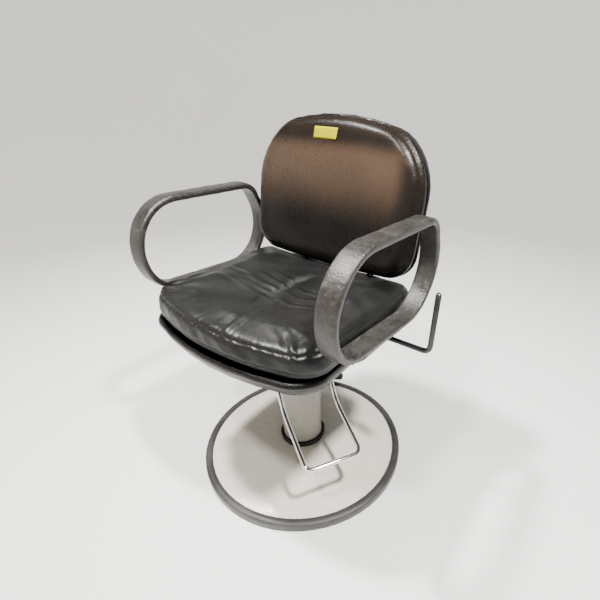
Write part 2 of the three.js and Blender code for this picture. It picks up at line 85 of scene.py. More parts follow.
# the blank sticker, across and up the back, and the butt joint's place round the bumper
STICKER_LEFT, STICKER_TOP = -0.049, 0.300
STICKER_WIDE, STICKER_TALL = 0.065, 0.0225
BUMPER_JOINT_TURN = math.radians(-29.2)

# floor, lamps and camera
FLOOR_FLAT_R, FLOOR_CURVE_R, FLOOR_RIM = 2.6, 1.4, 1.7
WORLD_STRENGTH = 0.07
CEILING = 2.5
LAMP_SIDE = 0.18
LAMPS = ((-0.66, -0.30, 116), (1.10, -0.05, 122), (0.05, -0.95, 42))  # x, y, watts
LAMP_COLOUR, BOUNCE_COLOUR = (1.0, 0.98, 0.94), (1.0, 0.78, 0.58)
CAMERA_AT = (0.598, -0.611, 0.950)
CAMERA_TILT, CAMERA_HEADING = math.radians(53.15), math.radians(36.06)
SENSOR, LENS = 36, 22.963
LENS_SHIFT = (-0.0705, 0.1093)


# ---- procedural finishes ----
class Finish:
    """A principled material built up from noise, cells and bumps in the piece's own coordinates."""

    def __init__(self, name, **constants):
        self.mat = bpy.data.materials.new(name)
        self.mat.use_nodes = True
        self.tree = self.mat.node_tree
        self.shader = self.tree.nodes["Principled BSDF"]
        self.where = self.node("ShaderNodeTexCoord").outputs["Object"]
        for key, value in constants.items():
            self.shader.inputs[key.replace("_", " ")].default_value = value

    def node(self, kind, **settings):
        n = self.tree.nodes.new(kind)
        for key, value in settings.items():
            setattr(n, key, value)
        return n

    def put(self, value, socket):
        if isinstance(value, bpy.types.NodeSocket):
            self.tree.links.new(value, socket)
        else:
            socket.default_value = value

    def stretched(self, scale):
        n = self.node("ShaderNodeMapping")
        n.inputs["Scale"].default_value = scale
        self.tree.links.new(self.where, n.inputs["Vector"])
        return n.outputs["Vector"]

    def noise(self, scale, detail=4.0, rough=0.55, stretch=None):
        n = self.node("ShaderNodeTexNoise")
        n.inputs["Scale"].default_value = scale
        n.inputs["Detail"].default_value = detail
        n.inputs["Roughness"].default_value = rough
        self.put(self.stretched(stretch) if stretch else self.where, n.inputs["Vector"])
        return n.outputs["Fac"]

    def cells(self, scale, feature="F1"):
        n = self.node("ShaderNodeTexVoronoi", feature=feature)
        n.inputs["Scale"].default_value = scale
        self.put(self.where, n.inputs["Vector"])
        return n.outputs["Distance"]

    def remap(self, value, a, b, low, high, smooth=False):
        n = self.node("ShaderNodeMapRange")
        if smooth:
            n.interpolation_type = "SMOOTHSTEP"
        for k, v in zip(("From Min", "From Max", "To Min", "To Max"), (a, b, low, high)):
            n.inputs[k].default_value = v
        self.put(value, n.inputs["Value"])
        return n.outputs["Result"]

    def maths(self, operation, a, b):
        n = self.node("ShaderNodeMath", operation=operation)
        self.put(a, n.inputs[0])
        self.put(b, n.inputs[1])
        return n.outputs[0]

    def blend(self, share, a, b):
        n = self.node("ShaderNodeMix", data_type="RGBA")
        self.put(share, n.inputs[0])
        for value, socket in ((a, n.inputs[6]), (b, n.inputs[7])):
            self.put((*value, 1.0) if isinstance(value, tuple) else value, socket)
        return n.outputs[2]

    def coordinate(self, axis):
        n = self.node("ShaderNodeSeparateXYZ")
        self.tree.links.new(self.where, n.inputs[0])
        return n.outputs[axis]

    def bump(self, height, depth, under=None):
        n = self.node("ShaderNodeBump")
        n.inputs["Distance"].default_value = depth
        self.put(height, n.inputs["Height"])
        if under:
            self.tree.links.new(under, n.inputs["Normal"])
        return n.outputs["Normal"]

    def done(self, colour=None, rough=None, normal=None):
        for value, key in ((colour, "Base Color"), (rough, "Roughness"), (normal, "Normal")):
            if value is not None:
                self.put(value, self.shader.inputs[key])
        return self.mat


# where the back's polish and its painted warm reflection fade out again, as axis, start, end,
# share before and share after: along its top, and down its two side edges
POLISH_AND_REFLECTION_FADES = ((2, 0.815, 0.850, 1, 0.1), (0, 0.165, 0.205, 1, 0.1), (0, -0.235, -0.205, 0.1, 1))


def leather(name, base, worn, rough, polish_and_reflection=None):
    """Black leather. The optional last argument is (low, high, colour): between those heights it turns from
    dull to polished and takes that colour as a painted warm reflection, except where the fades above hold it
    back."""
    f = Finish(name, Coat_Roughness=0.24)
    broad = f.noise(9, 5)
    fine = f.noise(160, 5, 0.6)
    pores = f.cells(520)
    creases = f.cells(170, feature="DISTANCE_TO_EDGE")
    colour = f.blend(f.remap(broad, 0.42, 0.68, 0, 1), base, worn)
    colour = f.blend(f.remap(fine, 0.62, 0.8, 0, 0.15), colour, tuple(c * 2.0 for c in worn))
    shine = f.remap(f.maths("ADD", broad, fine), 0.75, 1.25, rough - 0.04, rough + 0.08)
    if polish_and_reflection:
        low, high, reflection_tint = polish_and_reflection
        level = f.remap(f.coordinate(2), low, high, 0, 1, smooth=True)
        for axis, start, end, before, after in POLISH_AND_REFLECTION_FADES:
            edge = f.remap(f.coordinate(axis), start, end, before, after, smooth=True)
            level = f.maths("MULTIPLY", level, edge)
        patchy = f.remap(broad, 0.35, 0.7, 0.75, 1.0)
        # painted reflection: a warm brown blended into the colour between those heights, in patches
        colour = f.blend(f.maths("MULTIPLY", level, patchy), colour, reflection_tint)
        f.put(f.remap(level, 0, 1, 0.10, 0.55), f.shader.inputs["Specular IOR Level"])
        f.put(f.remap(level, 0, 1, 0.03, 0.16), f.shader.inputs["Coat Weight"])
    else:
        f.put(f.remap(broad, 0.35, 0.7, 0.26, 0.36), f.shader.inputs["Specular IOR Level"])
        f.put(f.remap(broad, 0.35, 0.7, 0.05, 0.09), f.shader.inputs["Coat Weight"])
    grain = f.bump(f.remap(creases, 0.0, 0.12, 0, 1), 0.00012)
    grain = f.bump(pores, 0.00008, grain)
    return f.done(colour, shine, f.bump(f.noise(30, 5, 0.5), 0.0003, grain))


def enamel(name, base, dirt, rough, speck=0.35):
    f = Finish(name, Specular_IOR_Level=0.5, Coat_Weight=0.25, Coat_Roughness=0.12)
    broad = f.noise(6, 6)
    dust = f.noise(240, 4, 0.7)
    colour = f.blend(f.remap(broad, 0.45, 0.72, 0, 0.5), base, dirt)
    colour = f.blend(f.remap(dust, 0.66, 0.8, 0, speck), colour, tuple(c * 0.55 for c in dirt))
    scuff = f.noise(26, 6, 0.7, (1, 5, 1))
    shine = f.remap(scuff, 0.4, 0.75, rough, rough + 0.22)
    return f.done(colour, shine, f.bump(f.noise(420, 3), 0.00006, f.bump(broad, 0.0004)))


def moulding(name, base, worn, rough, grain=0.00012, speckle=0.0, gloss=0.38):
    f = Finish(name, Specular_IOR_Level=gloss)
    broad = f.noise(13, 6, 0.6)
    pits = f.cells(900)
    grit = f.noise(520, 4, 0.7)
    colour = f.blend(f.remap(broad, 0.42, 0.7, 0, 1), base, worn)
    if speckle:
        colour = f.blend(f.remap(grit, 0.57, 0.72, 0, speckle), colour, tuple(2.4 * c for c in worn))
    nick = f.remap(f.noise(55, 3, 0.8), 0.70, 0.76, 0, 1)
    shine = f.remap(f.maths("ADD", broad, grit), 0.8, 1.25, rough - 0.08, rough + 0.12)
    normal = f.bump(pits, grain, f.bump(grit, grain * 2))
    return f.done(colour, shine, f.bump(nick, -0.0005, normal))


def metal(name, base, stained, rough, spread=0.1, stretch=None, metallic=1.0, ripple=0.00006):
    f = Finish(name, Metallic=metallic)
    broad = f.noise(18, 5)
    fine = f.noise(260, 4, 0.7, stretch)
    colour = f.blend(f.remap(broad, 0.5, 0.75, 0, 1), base, stained)
    shine = f.remap(f.maths("ADD", broad, fine), 0.75, 1.35, rough, rough + spread)
    return f.done(colour, shine, f.bump(fine, ripple))


def wood(name):
    f = Finish(name)
    rings = f.noise(30, 8, 0.6, (1, 14, 14))
    colour = f.blend(f.remap(rings, 0.35, 0.65, 0, 1), (0.020, 0.014, 0.009), (0.038, 0.027, 0.018))
    return f.done(colour, f.remap(rings, 0.3, 0.7, 0.55, 0.8), f.bump(rings, 0.0003))


def arm_finish():
    """Worn grey self-skinned foam: pale rubbed patches, and a painted warm light that browns the front curve.
    """
    f = Finish("worn urethane", Specular_IOR_Level=0.5, Coat_Weight=0.05, Coat_Roughness=0.35)
    broad = f.noise(17, 7, 0.62)
    grit = f.noise(640, 4, 0.75)
    spots = f.cells(210)
    # painted warm light: the front curve is tinted brown, as if lit by a warm lamp
    front = f.remap(f.coordinate(1), -0.28, -0.16, 1, 0, smooth=True)
    colour = f.blend(f.remap(broad, 0.40, 0.70, 0, 1), (0.014, 0.013, 0.012), (0.030, 0.028, 0.025))
    colour = f.blend(f.maths("MULTIPLY", front, 0.55), colour, (0.030, 0.020, 0.013))
    colour = f.blend(f.remap(grit, 0.58, 0.74, 0, 0.55), colour, (0.085, 0.080, 0.072))
    colour = f.blend(f.remap(spots, 0.0, 0.16, 0.35, 0), colour, (0.014, 0.013, 0.012))
    mottle = f.noise(150, 6, 0.8)
    colour = f.blend(f.remap(mottle, 0.50, 0.66, 0, 0.75), colour, (0.056, 0.052, 0.047))
    scuffed = f.remap(f.noise(34, 6, 0.75), 0.60, 0.72, 0, 0.6)
    colour = f.blend(scuffed, colour, (0.12, 0.113, 0.102))
    nick = f.remap(f.noise(42, 4, 0.85), 0.69, 0.75, 0, 1)
    shine = f.remap(f.maths("ADD", broad, mottle), 0.8, 1.25, 0.27, 0.50)
    normal = f.bump(grit, 0.00022, f.bump(mottle, 0.0006, f.bump(spots, 0.00035)))
    return f.done(colour, shine, f.bump(nick, -0.0008, f.bump(broad, 0.0012, normal)))


SEAT_LEATHER = leather("seat leather", (0.0055, 0.0056, 0.0056), (0.009, 0.0089, 0.0086), 0.35)
# the last argument paints a warm brown reflection into the upper panel of the back
BACK_LEATHER = leather(
    "back leather", (0.005, 0.0045, 0.004), (0.009, 0.0075, 0.0065), 0.27,
    (0.665, 0.80, (0.050, 0.027, 0.0135)),
)
THREAD = moulding("thread", (0.006, 0.006, 0.006), (0.018, 0.017, 0.016), 0.5)
FINISHES = {
    "ivory_paint": enamel("ivory enamel", (0.80, 0.765, 0.68), (0.70, 0.66, 0.56), 0.20),
    "grey_bumper": moulding("bumper PVC", (0.036, 0.035, 0.035), (0.066, 0.063, 0.060), 0.42, speckle=0.3),
    "black_moulding": moulding(
        "black moulding", (0.004, 0.004, 0.004), (0.008, 0.0075, 0.007), 0.24, gloss=0.17,
    ),
    "beige_paint": enamel("beige enamel", (0.25, 0.235, 0.20), (0.20, 0.185, 0.155), 0.30, 0.2),
    "chrome": metal("chrome", (0.83, 0.83, 0.84), (0.62, 0.60, 0.57), 0.05, 0.14),
    "black_steel": metal("black steel", (0.010, 0.010, 0.011), (0.022, 0.020, 0.018), 0.32, 0.2, None, 0.0),
    "grey_steel": metal("grey steel", (0.028, 0.028, 0.029), (0.05, 0.045, 0.04), 0.38, 0.2, None, 0.3),
    "zinc": metal("zinc plate", (0.50, 0.50, 0.49), (0.34, 0.32, 0.29), 0.26, 0.2, (1, 1, 6)),
    "black_leather": SEAT_LEATHER,
    "grey_urethane": arm_finish(),
    "black_rubber": moulding("black rubber", (0.016, 0.016, 0.016), (0.035, 0.034, 0.033), 0.6),
    "plywood": wood("plywood"),
}
for name, piece in nodes.items():
    for held in piece.material_slots:
        held.material = FINISHES[slot_of[name]]


# ---- mesh helpers ----
def mesh_object(name, points, faces, finish):
    data = bpy.data.meshes.new(name)
    data.from_pydata([tuple(p) for p in points], [], faces)
    data.materials.append(finish)
    data.shade_smooth()
    obj = bpy.data.objects.new(name, data)
    bpy.context.scene.collection.objects.link(obj)
    return obj


def points_of(data):
    out = np.empty(len(data.vertices) * 3)
    data.vertices.foreach_get("co", out)
    return out.reshape(-1, 3)


def set_points(data, pts):
    data.vertices.foreach_set("co", np.asarray(pts, float).ravel())
    data.update()


def normals_of(data):
    out = np.empty(len(data.vertices) * 3)
    data.vertex_normals.foreach_get("vector", out)
    return out.reshape(-1, 3)


def evaluated(obj):
    got = obj.evaluated_get(bpy.context.evaluated_depsgraph_get())
    return bpy.data.meshes.new_from_object(got)


def bake(obj):
    """Applies all of the modifiers on obj."""
    data = evaluated(obj)
    obj.modifiers.clear()
    obj.data = data


def spaced(pts, outward, step):
    """Evenly spaced points round a closed line, with unit outward directions."""
    run = np.r_[0, np.cumsum(np.linalg.norm(np.diff(np.r_[pts, pts[:1]], axis=0), axis=1))]
    want = np.linspace(0, run[-1], max(8, int(run[-1] / step)), endpoint=False)
    both = np.c_[np.r_[pts, pts[:1]], np.r_[outward, outward[:1]]]
    got = np.stack([np.interp(want, run, both[:, k]) for k in range(4)], 1)
    return got[:, :2], got[:, 2:] / np.linalg.norm(got[:, 2:], axis=1)[:, None]


class Outline:
    """The convex outline of a cushion in its own flat plane, with how far inside it a point lies."""

    def __init__(self, flat):
        hull = self._hull(flat)
        step = np.roll(hull, -1, axis=0) - hull
        length = np.linalg.norm(step, axis=1)
        self.normal = np.stack([step[:, 1], -step[:, 0]], 1) / length[:, None]
        self.reach = np.einsum("ij,ij->i", self.normal, hull)
        self.centre = (hull.min(0) + hull.max(0)) / 2

    @staticmethod
    def _hull(flat):
        pts = sorted({(round(a, 5), round(b, 5)) for a, b in flat})

        def chain(seq):
            out = []
            for p in seq:
                while len(out) > 1:
                    (ax, ay), (bx, by) = out[-2], out[-1]
                    if (bx - ax) * (p[1] - ay) - (by - ay) * (p[0] - ax) > 1e-12:
                        break
                    out.pop()
                out.append(p)
            return out[:-1]

        return np.array(chain(pts) + chain(pts[::-1]))

    def inset(self, flat):
        return (self.reach[None] - flat @ self.normal.T).min(1)

    def ring(self, depth, step):
        """Evenly spaced points and outward directions along the outline moved inwards by depth."""
        turn = np.linspace(0, 2 * math.pi, 1440, endpoint=False)
        aim = np.stack([np.cos(turn), np.sin(turn)], 1)
        facing = aim @ self.normal.T
        room = self.reach - depth - self.normal @ self.centre
        with np.errstate(divide="ignore"):
            far = np.where(facing > 1e-6, room / np.maximum(facing, 1e-9), np.inf)
        pts = self.centre + aim * far.min(1)[:, None]
        return spaced(pts, self.normal[far.argmin(1)], step)


def nearest(points, line):
    """Distance of each point to a polyline of 2-D or 3-D points, and how far along it is, 0 to 1."""
    line = np.asarray(line, float)
    best, where = np.full(len(points), 1e9), np.zeros(len(points))
    for k in range(len(line) - 1):
        a, ab = line[k], line[k + 1] - line[k]
        t = np.clip(((points - a) @ ab) / (ab @ ab), 0, 1)
        d = np.linalg.norm(points - a - t[:, None] * ab, axis=1)
        closer = d < best
        best[closer] = d[closer]
        where[closer] = (k + t[closer]) / (len(line) - 1)
    return best, where


def fold(flat, line, height, width):
    """A soft ridge, or a valley if height is below 0, that fades at both ends of its line."""
    away, along = nearest(flat, line)
    fade = np.sin(np.clip(along, 0.0, 1.0) * math.pi) ** 0.6
    return height * fade * np.exp(-((away / width) ** 2))


def inflated(node, name, finish, start, pinned, share, crown):
    """A stuffed copy of a CAD cushion: remeshed, blown up as cloth where it isn't pinned, then refined.
    share says how much of the cloth's movement each place keeps, and crown how much its foam stands out."""
    data = nodes[node].data.copy()
    obj = bpy.data.objects.new(name, data)
    bpy.context.scene.collection.objects.link(obj)
    set_points(data, start(points_of(data)))
    grid = obj.modifiers.new("grid", "REMESH")
    grid.mode, grid.voxel_size, grid.use_smooth_shade = "VOXEL", GRID, True
    bake(obj)
    relax = obj.modifiers.new("relax", "SMOOTH")
    relax.factor, relax.iterations = 0.5, 3
    bake(obj)
    rest = points_of(obj.data)
    held = obj.vertex_groups.new(name="held")
    weight = pinned(rest)
    for k in np.flatnonzero(weight > 0):
        held.add([int(k)], float(weight[k]), "REPLACE")
    cloth = obj.modifiers.new("cloth", "CLOTH")
    cloth.settings.vertex_group_mass = "held"
    cloth.settings.use_pressure = True
    cloth.settings.uniform_pressure_force = PRESSURE
    cloth.settings.effector_weights.gravity = 0
    cloth.settings.quality = 5
    cloth.settings.tension_stiffness = 12
    cloth.settings.compression_stiffness = 12
    cloth.settings.bending_stiffness = 0.6
    cloth.point_cache.frame_start, cloth.point_cache.frame_end = 1, CLOTH_FRAMES
    for moment in range(1, CLOTH_FRAMES + 1):
        bpy.context.scene.frame_set(moment)
    blown = points_of(evaluated(obj))
    obj.modifiers.clear()
    bpy.context.scene.frame_set(1)
    move = blown - rest
    far = np.linalg.norm(move, axis=1)
    move *= (np.minimum(1, MOST_CLOTH_MOVE / np.maximum(far, 1e-9)) * share(rest))[:, None]
    set_points(obj.data, rest + move + normals_of(obj.data) * crown(rest)[:, None])
    obj.vertex_groups.clear()
    finer = obj.modifiers.new("finer", "SUBSURF")
    finer.levels = finer.render_levels = 1
    bake(obj)
    obj.data.materials.clear()
    obj.data.materials.append(finish)
    obj.data.shade_smooth()
    return obj


def calmed(data, pts, weight, rounds=14):
    """Points drawn towards the middle of their neighbours, each by its own weight, a few times over."""
    edges = np.array([tuple(e.vertices) for e in data.edges])
    count = np.bincount(edges.ravel(), minlength=len(pts))[:, None]
    for _ in range(rounds):
        total = np.zeros_like(pts)
        np.add.at(total, edges[:, 0], pts[edges[:, 1]])
        np.add.at(total, edges[:, 1], pts[edges[:, 0]])
        pts = pts + weight[:, None] * (total / count - pts)
    return pts


def held_inside(flat, inset, centre, spare):
    """Points of a cushion that bulge past its outline by more than spare, pulled back to there."""
    away = flat - centre
    away /= np.linalg.norm(away, axis=1)[:, None]
    return flat + away * np.minimum(0, inset + spare)[:, None]


def seam_gap(pts, near, seam):
    """Distance of each near point to the closed seam line; the others count as far away."""
    gap = np.full(len(pts), 1.0)
    gap[near] = nearest(pts[near], np.r_[seam, seam[:1]])[0]
    return gap


def groove(gap, deep, narrow, shallow, broad):
    """How far the leather is drawn in beside a seam: a narrow groove in a broader dip."""
    return (deep * np.exp(-((gap / narrow) ** 2)) + shallow * np.exp(-((gap / broad) ** 2)))[:, None]


def tree_of(obj):
    data = obj.data
    return BVHTree.FromPolygons([v.co for v in data.vertices], [tuple(p.vertices) for p in data.polygons])


def landed(tree, origin, aim):
    place, normal, _, _ = tree.ray_cast(Vector(origin), Vector(aim))
    return place, normal


def sewn(name, path, length, radius, finish, body):
    """Small arched stitches along a run of (place, normal) points on a cushion."""
    pts, faces, sides = [], [], 6
    for k in range(len(path) - 1):
        (a, na), (b, nb) = path[k], path[k + 1]
        if a is None or b is None or (b - a).length > 0.02:
            continue
        middle, up = (a + b) / 2, (na + nb).normalized()
        along = (b - a).normalized()
        side = along.cross(up).normalized()
        base = len(pts)
        for i, t in enumerate((-0.5, -0.3, 0.0, 0.3, 0.5)):
            thick = radius * (0.45, 1.0, 1.1, 1.0, 0.45)[i]
            lift = radius * (-0.9, 0.15, 0.45, 0.15, -0.9)[i]
            at = middle + along * (t * length) + up * lift
            for j in range(sides):
                w = 2 * math.pi * j / sides
                pts.append(at + (side * math.cos(w) + up * math.sin(w)) * thick)
        for i in range(4):
            for j in range(sides):
                q = base + i * sides + j
                r = base + i * sides + (j + 1) % sides
                faces.append((q, r, r + sides, q + sides))
        faces.append(tuple(base + j for j in range(sides))[::-1])
        faces.append(tuple(base + 4 * sides + j for j in range(sides)))
    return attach(mesh_object(name, pts, faces, finish), body)


# ---- hard parts: the CAD's own shape with rounded edges and continuous shading ----
def refined(node, body, edge, angle=34):
    """A copy of a CAD node, welded, with its sharp edges rounded by edge, that stands for the node."""
    source = nodes[node].data
    pts = points_of(source)
    keys, back_to = np.unique(np.round(pts, 6), axis=0, return_inverse=True)
    back_to = back_to.ravel()
    faces = []
    for poly in source.polygons:
        ring = [int(back_to[v]) for v in poly.vertices]
        if len(set(ring)) == len(ring):
            faces.append(ring)
    obj = mesh_object(f"{node}_finished", keys, faces, FINISHES[slot_of[node]])
    obj.data.set_sharp_from_angle(angle=math.radians(angle))
    soft = obj.modifiers.new("soft edges", "BEVEL")
    soft.limit_method, soft.angle_limit = "ANGLE", math.radians(angle)
    soft.width, soft.segments, soft.harden_normals = edge, 3, True
    soft.use_clamp_overlap = True
    bake(obj)
    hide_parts(node)
    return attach(obj, body)


EDGES = {
    "base_plate": 0.0008, "base_trim": 0.0010, "base_collar": 0.0008, "column_cover": 0.0006,
    "cover_screw": 0.0003, "column_head": 0.0008, "footrest_clamp_left": 0.0006,
    "footrest_clamp_right": 0.0006, "pump_ram": 0.0003, "pump_foot": 0.0006, "pump_cylinder": 0.0006,
    "pedal_housing": 0.0010, "pedal_arm": 0.0008, "pedal_pad": 0.0018, "seat_hub": 0.0008,
    "seat_frame": 0.0006, "arm_carrier": 0.0008, "arm_bracket_left": 0.0008, "arm_bracket_right": 0.0008,
    "frame_rail_left": 0.0012, "frame_rail_right": 0.0012, "recline_bracket_left": 0.0006,
    "recline_bracket_right": 0.0006, "seat_pan": 0.0010, "back_shell": 0.0010, "back_mount_plate": 0.0006,
    "back_upright_left": 0.0008, "back_upright_right": 0.0008, "lever_tip": 0.0006,
    "pivot_shaft": 0.0006, "lever_bush": 0.0006, "seat_board": 0.0008,
}
for node, body in body_of.items():
    if node in EDGES:
        piece = refined(node, body, EDGES[node])
        if node == "back_shell":
            piece.data.materials[0] = moulding(
                "back shell moulding", (0.006, 0.006, 0.006), (0.011, 0.010, 0.010), 0.55
            )


def bent_bar(node, body, corners, bends, radius, turn=0.0):
    """A round bar swept finely along the CAD bar's own path, with bevelled ends, that stands for the node."""
    corners = [np.array(c) for c in corners]
    line = [corners[0]]
    for k, bend in enumerate(bends, 1):
        back = corners[k - 1] - corners[k]
        on = corners[k + 1] - corners[k]
        back, on = (corners[k] + bend * v / np.linalg.norm(v) for v in (back, on))
        for t in np.linspace(0, 1, 13):
            line.append((1 - t) ** 2 * back + 2 * t * (1 - t) * corners[k] + t * t * on)
    line = np.array(line + [corners[-1]])
    along = np.diff(line, axis=0)
    along /= np.linalg.norm(along, axis=1)[:, None]
    first, last, edge = along[0], along[-1], 0.0012
    rings = [(line[0], first, radius - edge), (line[0] + first * edge, first, radius)]
    for k in range(1, len(line) - 1):
        mean = along[k - 1] + along[k]
        rings.append((line[k], mean / np.linalg.norm(mean), radius))
    rings += [(line[-1] - last * edge, last, radius), (line[-1], last, radius - edge)]
    side = np.cross(first, (0.0, 0.0, 1.0) if abs(first[2]) < 0.9 else (0.0, 1.0, 0.0))
    c, s, pts, faces, sides = math.cos(turn), math.sin(turn), [], [], 28
    for at, way, r in rings:
        side = side - way * (side @ way)
        side /= np.linalg.norm(side)
        up = np.cross(way, side)
        for j in range(sides):
            w = 2 * math.pi * j / sides
            x, y, z = at + r * (side * math.cos(w) + up * math.sin(w))
            pts.append((c * x - s * y, s * x + c * y, z))
    for k in range(len(rings) - 1):
        for j in range(sides):
            a, b = k * sides + j, k * sides + (j + 1) % sides
            faces.append((a, b, b + sides, a + sides))
    faces.append(tuple(range(sides))[::-1])
    faces.append(tuple(range(len(pts) - sides, len(pts))))
    obj = mesh_object(f"{node}_finished", pts, faces, FINISHES[slot_of[node]])
    obj.data.set_sharp_from_angle(angle=math.radians(50))
    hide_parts(node)
    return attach(obj, body)


footrest_path = FOOTREST_LEG + [(x, -y, z) for x, y, z in reversed(FOOTREST_LEG)]
bent_bar("footrest_bar", body_of["footrest_bar"], footrest_path, FOOTREST_BENDS, FOOTREST_R, FOOTREST_TURN)
bent_bar("lever_rod", body_of["lever_rod"], LEVER_PATH, LEVER_BENDS, LEVER_R)


# ---- arms: closed loops of moulded foam, swept finely round the same corners as the CAD ----
def loop_path(step):
    """Points and outward directions in (y, z) round the arm's centre line."""
    place, out = [], []
    count = len(ARM_CORNERS)
    for k, (y, z, r) in enumerate(ARM_CORNERS):
        p = np.array((y, z))
        before = np.array(ARM_CORNERS[k - 1][:2]) - p
        after = np.array(ARM_CORNERS[(k + 1) % count][:2]) - p
        before, after = before / np.linalg.norm(before), after / np.linalg.norm(after)
        half = math.acos(before @ after) / 2
        middle = p + (before + after) / np.linalg.norm(before + after) * r / math.sin(half)
        starts = p + before * r / math.tan(half) - middle
        turn = math.pi - 2 * half
        base = math.atan2(starts[1], starts[0])
        for i in range(25):
            w = base + turn * i / 24
            n = np.array((math.cos(w), math.sin(w)))
            place.append(middle + n * r)
            out.append(n)
    return spaced(np.array(place), np.array(out), step)


def arm_section(wide, thick, corner):
    """The moulding's section, (across, out): a flat band with soft edges and a hardly crowned face."""
    ring = []
    for cx, cy, first in ((1, 1, 0), (-1, 1, 90), (-1, -1, 180), (1, -1, 270)):
        for i in range(7):
            w = math.radians(first + 15 * i)
            across = cx * (wide / 2 - corner) + corner * math.cos(w)
            ring.append((across, cy * (thick / 2 - corner) + corner * math.sin(w)))
        if cy == 1 and cx == 1 or cy == -1 and cx == -1:
            for t in (0.75, 0.5, 0.25, 0.0, -0.25, -0.5, -0.75):
                ring.append((cx * t * (wide / 2 - corner), cy * (thick / 2 + 0.0007 * (1 - t * t))))
    return np.array(ring)


def swept_arm(side, sign):
    low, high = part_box(f"arm_{side}")
    path, out = loop_path(0.0032)
    section = arm_section(high.x - low.x, ARM_THICK, ARM_EDGE)
    middle = (low.x + high.x) / 2
    slow = np.random.RandomState(11 if sign > 0 else 12)
    pts, faces, n = [], [], len(section)
    phase = slow.uniform(0, 6, 4)
    for k, (p, o) in enumerate(zip(path, out)):
        w = 2 * math.pi * k / len(path)
        wave = 0.00022 * (math.sin(9 * w + phase[0]) + math.sin(23 * w + phase[1]))
        wave += 0.00012 * math.sin(71 * w + phase[2])
        for x, d in section:
            yz = p + o * (d + wave * (1 if d > 0 else -0.5))
            pts.append((middle + x + 0.3 * wave, yz[0], yz[1]))
    for k in range(len(path)):
        a, b = k * n, (k + 1) % len(path) * n
        for j in range(n):
            i = (j + 1) % n
            faces.append((a + j, a + i, b + i, b + j))
    obj = mesh_object(f"arm_moulding_{side}", pts, faces, FINISHES["grey_urethane"])
    # shallow nicks and dents where trolleys and tools have struck it
    data, at = obj.data, points_of(obj.data)
    normal = normals_of(data)
    for _ in range(ARM_DENTS):
        hit = at[slow.randint(len(at))]
        span, deep = slow.uniform(0.0022, 0.0055), slow.uniform(0.0002, 0.0007)
        gap = np.linalg.norm((at - hit) * (1, slow.uniform(0.5, 1), 1), axis=1)
        at -= normal * (deep * np.exp(-((gap / span) ** 2)))[:, None]
    set_points(data, at)
    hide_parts(f"arm_{side}")
    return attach(obj, "seat")


swept_arm("left", -1)
swept_arm("right", 1)


# ---- seat cushion: a loose leather cover, creased and puckered, over foam ----
seat_outline = Outline(points_of(nodes["seat_cushion"].data)[:, :2])
seat_middle = np.array([*seat_outline.centre, (seat_low.z + seat_high.z) / 2])


def seat_start(pts):
    """The foam before stuffing: a little in from the edges and lower at the top."""
    out = pts.copy()
    out[:, :2] = seat_middle[:2] + (pts[:, :2] - seat_middle[:2]) * (0.984, 0.982)
    out[:, 2] = seat_low.z + (pts[:, 2] - seat_low.z) * 0.955
    return out


seat = inflated(
    "seat_cushion",
    "seat_cushion_cover",
    SEAT_LEATHER,
    seat_start,
    lambda p: np.clip((seat_low.z + 0.014 - p[:, 2]) / 0.01, 0, 1),
    lambda p: 0.10 + 0.16 * np.clip(seat_outline.inset(p[:, :2]) / 0.08, 0, 1),
    lambda p: 0.0042 + 0.0036 * np.exp(-(((p[:, 2] - seat_low.z - 0.016) / 0.017) ** 2)),
)

# the seat's creases and slack, each a line of (x, y) with its height and width
SITTER_FOLDS = (
    ([(0.050, -0.262), (0.049, -0.22), (0.048, -0.18), (0.046, -0.10)], 0.0062, 0.0075),
    ([(0.036, -0.24), (0.034, -0.18), (0.030, -0.12), (0.020, -0.06)], -0.0042, 0.014),
    ([(0.043, -0.184), (0.020, -0.07), (0.019, 0.0), (0.036, 0.06)], -0.0055, 0.013),
)
CREASES = (
    ([(-0.175, -0.076), (-0.086, -0.084), (0.006, -0.097), (0.030, -0.090)], 0.0030, 0.0065),
    ([(-0.190, -0.028), (-0.094, -0.041), (-0.028, -0.051), (0.016, -0.052)], 0.0032, 0.0060),
    ([(-0.140, -0.058), (-0.075, -0.063), (-0.010, -0.074), (0.020, -0.071)], 0.0022, 0.0050),
    ([(-0.140, -0.024), (-0.055, -0.040), (0.012, -0.056)], 0.0026, 0.0050),
    ([(-0.100, -0.006), (-0.017, -0.024), (0.020, -0.030)], 0.0024, 0.0055),
    ([(-0.070, 0.020), (-0.010, 0.006), (0.022, -0.004)], 0.0020, 0.0050),
    ([(0.034, -0.084), (0.088, -0.095), (0.150, -0.070)], 0.0030, 0.0060),
    ([(0.030, -0.050), (0.080, -0.062), (0.150, -0.040)], 0.0022, 0.0055),
    ([(0.026, -0.020), (0.070, -0.030), (0.120, -0.024)], 0.0026, 0.0055),
    ([(0.175, -0.238), (0.148, -0.190), (0.152, -0.162), (0.210, -0.170)], 0.0013, 0.0070),
    ([(0.196, -0.232), (0.186, -0.196), (0.196, -0.150)], 0.0013, 0.0060),
)
# puckers that fan out of the front corners: corner x, y, spread, how many, height, first and last angle
PUCKERS = (
    (-0.268, -0.216, 0.130, 17.0, 0.0050, 0.10, 1.15),
    (0.240, -0.254, 0.095, 17.0, 0.0022, 1.50, 2.70),
)


def drop_to_seat(tree, flat):
    return [landed(tree, (x, y, seat_high.z + 0.08), (0, 0, -1)) for x, y in flat]


def seat_bearing(flat):
    return np.arctan2(flat[:, 1] - seat_middle[1], flat[:, 0] - seat_middle[0])


